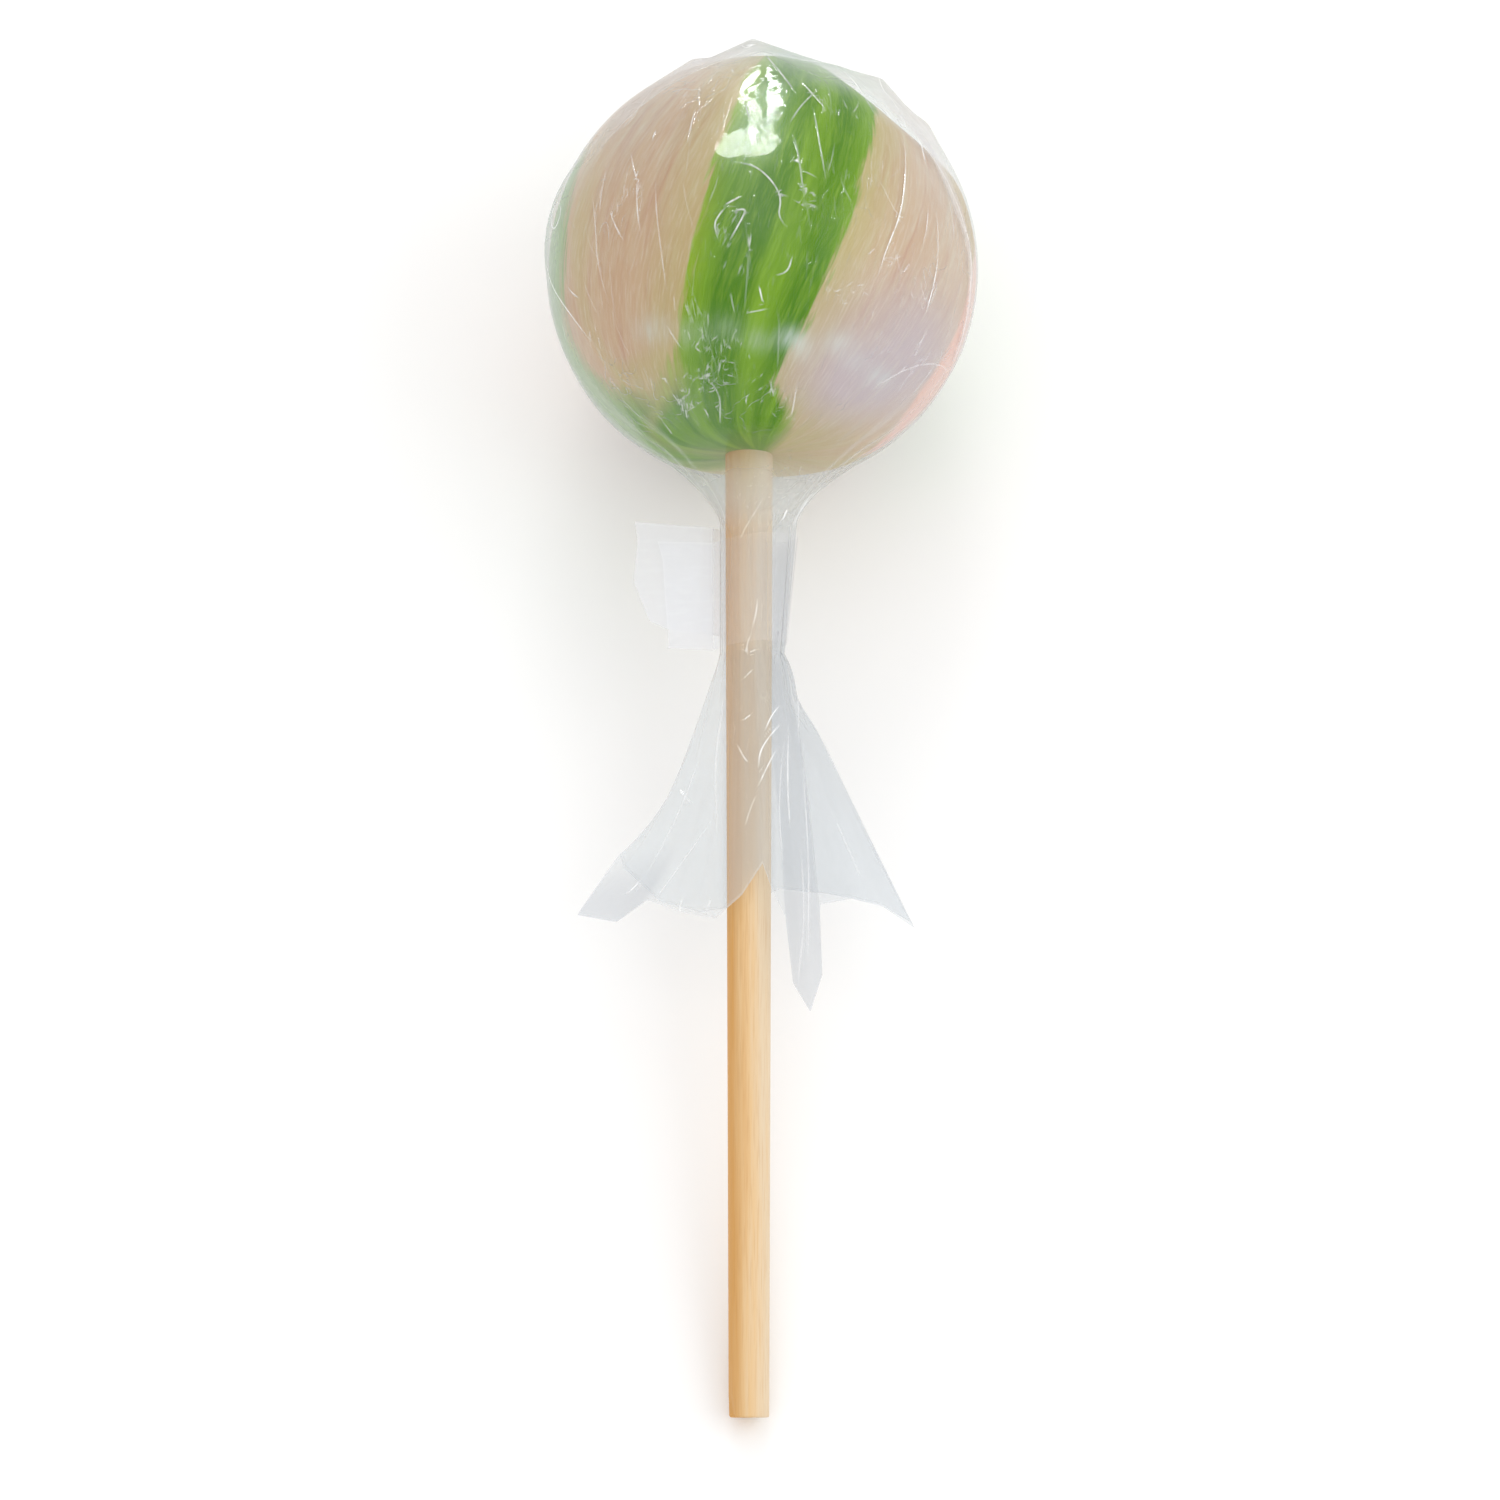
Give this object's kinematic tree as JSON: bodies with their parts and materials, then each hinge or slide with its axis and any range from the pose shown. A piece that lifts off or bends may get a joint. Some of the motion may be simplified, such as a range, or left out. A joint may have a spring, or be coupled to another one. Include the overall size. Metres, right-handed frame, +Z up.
{
  "type": "swirl lollipop",
  "caption": "Lollipop lying on its side: a round swirl candy on a slim wooden stick, wrapped in clear film that is gathered and taped below the ball and flares over the stick.",
  "frame": {"origin": "middle of the small flat spot on the wrapper's underside, on the surface it lies on, straight below the ball's centre", "axes": "+Z up from the surface it lies on, +Y from the stick's tip towards the ball, +X to the right seen from above with the ball ahead"},
  "size_m": [0.0516, 0.163, 0.051],
  "materials": {
    "candy": "boiled sugar, smooth and glossy, tan with green and yellow-green swirl bands",
    "stick": "plain sanded birch, fine lengthwise grain",
    "film": "thin clear film, glossy, crinkled",
    "tape": "clear adhesive tape, smooth"
  },
  "bodies": {
    "root": {"candy": "candy", "stick": "stick", "wrapper": "film", "tape": "tape"}
  },
  "joints": []
}
